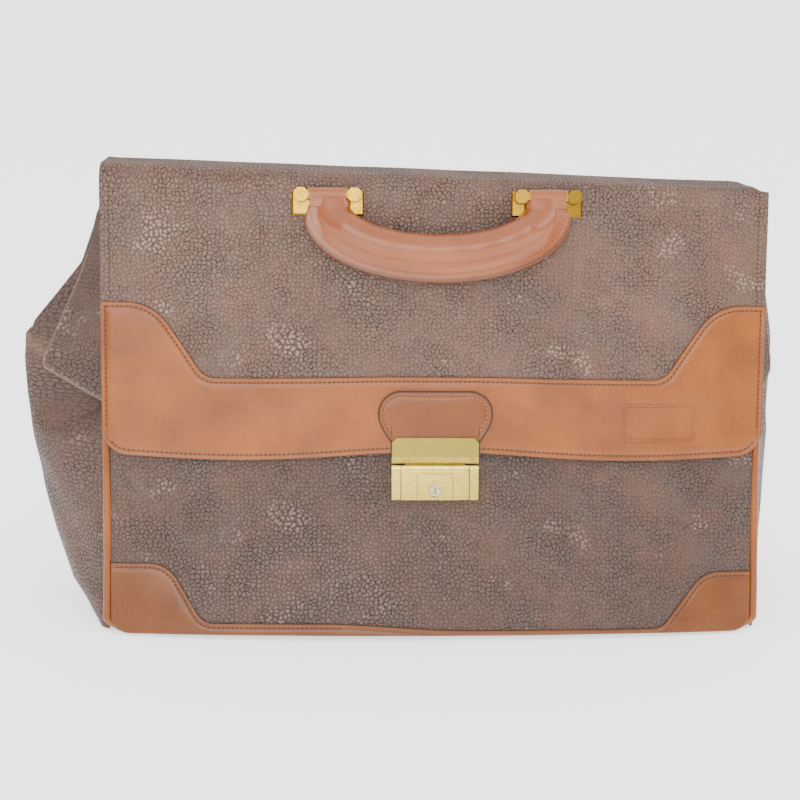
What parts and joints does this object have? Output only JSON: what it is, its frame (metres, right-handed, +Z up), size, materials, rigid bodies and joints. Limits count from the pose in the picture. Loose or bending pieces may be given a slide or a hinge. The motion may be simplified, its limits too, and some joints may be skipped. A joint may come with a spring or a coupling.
{
  "type": "doctor bag",
  "caption": "Grained leather doctor bag with a hinged steel mouth frame, a tan-trimmed flap over the mouth, a brass slide lock and a swinging rolled handle.",
  "frame": {"origin": "middle of the base's underside, on the surface the bag stands on", "axes": "+X across the bag to its right, +Y to its back, +Z up; the flap, lock and handle face -Y"},
  "size_m": [0.4868, 0.1536, 0.2936],
  "materials": {
    "grained_leather": "pebbled, semi-matt",
    "tan_leather": "smooth, waxed gloss",
    "lining_cloth": "plain woven cotton",
    "leatherboard": "matt bonded fibre",
    "handle_filler": "twisted cord",
    "aged_brass": "worn, lightly aged",
    "frame_steel": "plated strip"
  },
  "bodies": {
    "base": {"base_leather": "grained_leather", "base_board": "leatherboard", "base_lining": "lining_cloth", "gusset_left": "grained_leather", "gusset_right": "grained_leather"},
    "front_side": {"front_panel": "grained_leather", "front_board": "leatherboard", "front_lining": "lining_cloth", "front_base_trim": "tan_leather", "front_piping_left": "tan_leather", "front_piping_right": "tan_leather", "lock_backing": "frame_steel", "lock_case": "aged_brass", "lock_rivets": "frame_steel", "lock_springs": "frame_steel"},
    "back_side": {"back_panel": "grained_leather", "back_board": "leatherboard", "back_lining": "lining_cloth", "back_base_trim": "tan_leather", "back_piping_left": "tan_leather", "back_piping_right": "tan_leather", "flap_anchor": "tan_leather"},
    "front_mouth_frame": {"front_frame": "frame_steel", "front_welt": "grained_leather", "hinge_rivets_outer": "frame_steel"},
    "back_mouth_frame": {"back_frame": "frame_steel", "back_welt": "grained_leather", "hinge_rivets_inner": "frame_steel"},
    "flap": {"flap_panel": "grained_leather", "flap_lining": "lining_cloth", "flap_band": "tan_leather", "lock_tab": "tan_leather", "hasp": "aged_brass", "hasp_backing": "frame_steel", "hasp_rivets": "aged_brass", "bracket_left": "aged_brass", "bracket_right": "aged_brass", "bracket_rivets": "aged_brass", "bracket_backing_left": "frame_steel", "bracket_backing_right": "frame_steel", "handle_pin_left": "aged_brass", "handle_pin_right": "aged_brass"},
    "handle": {"handle_cover": "tan_leather", "handle_core": "handle_filler", "handle_loop_left": "tan_leather", "handle_loop_right": "tan_leather", "pivot_washers": "aged_brass"},
    "lock_slide": {"lock_slide": "aged_brass", "index_pins": "aged_brass"},
    "key_plug": {"key_cylinder": "aged_brass", "lock_cam": "frame_steel"}
  },
  "joints": [
    {"name": "flap_open", "type": "hinge", "parent": "back_side", "child": "flap", "pos_m": [0, 0.0205, 0.287], "axis": [-1, 0, 0], "range_deg": [0, 175]},
    {"name": "front_swing", "type": "hinge", "parent": "base", "child": "front_side", "pos_m": [0, -0.0735, 0.003], "axis": [1, 0, 0], "range_deg": [0, 10.56]},
    {"name": "back_swing", "type": "hinge", "parent": "base", "child": "back_side", "pos_m": [0, 0.0735, 0.003], "axis": [-1, 0, 0], "range_deg": [0, 10.56]},
    {"name": "front_frame_turn", "type": "hinge", "parent": "front_side", "child": "front_mouth_frame", "pos_m": [0, -0.01, 0.276], "axis": [1, 0, 0], "range_deg": [0, 50.61]},
    {"name": "back_frame_turn", "type": "hinge", "parent": "back_side", "child": "back_mouth_frame", "pos_m": [0, 0.01, 0.276], "axis": [-1, 0, 0], "range_deg": [0, 50.61]},
    {"name": "handle_swing", "type": "hinge", "parent": "flap", "child": "handle", "pos_m": [0, -0.03198, 0.28017], "axis": [-1, 0, 0], "range_deg": [0, 180]},
    {"name": "lock_press", "type": "slide", "parent": "front_side", "child": "lock_slide", "axis": [0, -0.2266, -0.974], "range_m": [0, 0.0042], "stiffness_N_per_m": 600, "springref_m": -0.002, "deforming": ["lock_springs"]},
    {"name": "key_turn", "type": "hinge", "parent": "lock_slide", "child": "key_plug", "pos_m": [0, -0.06226, 0.09371], "axis": [0, -0.974, 0.2266], "range_deg": [0, 90]}
  ],
  "couplings": [
    {"joint": "front_swing", "follows": "flap_open", "ratio": 0.060312},
    {"joint": "back_swing", "follows": "flap_open", "ratio": 0.060312},
    {"joint": "front_frame_turn", "follows": "flap_open", "ratio": 0.28912},
    {"joint": "back_frame_turn", "follows": "flap_open", "ratio": 0.28912}
  ]
}
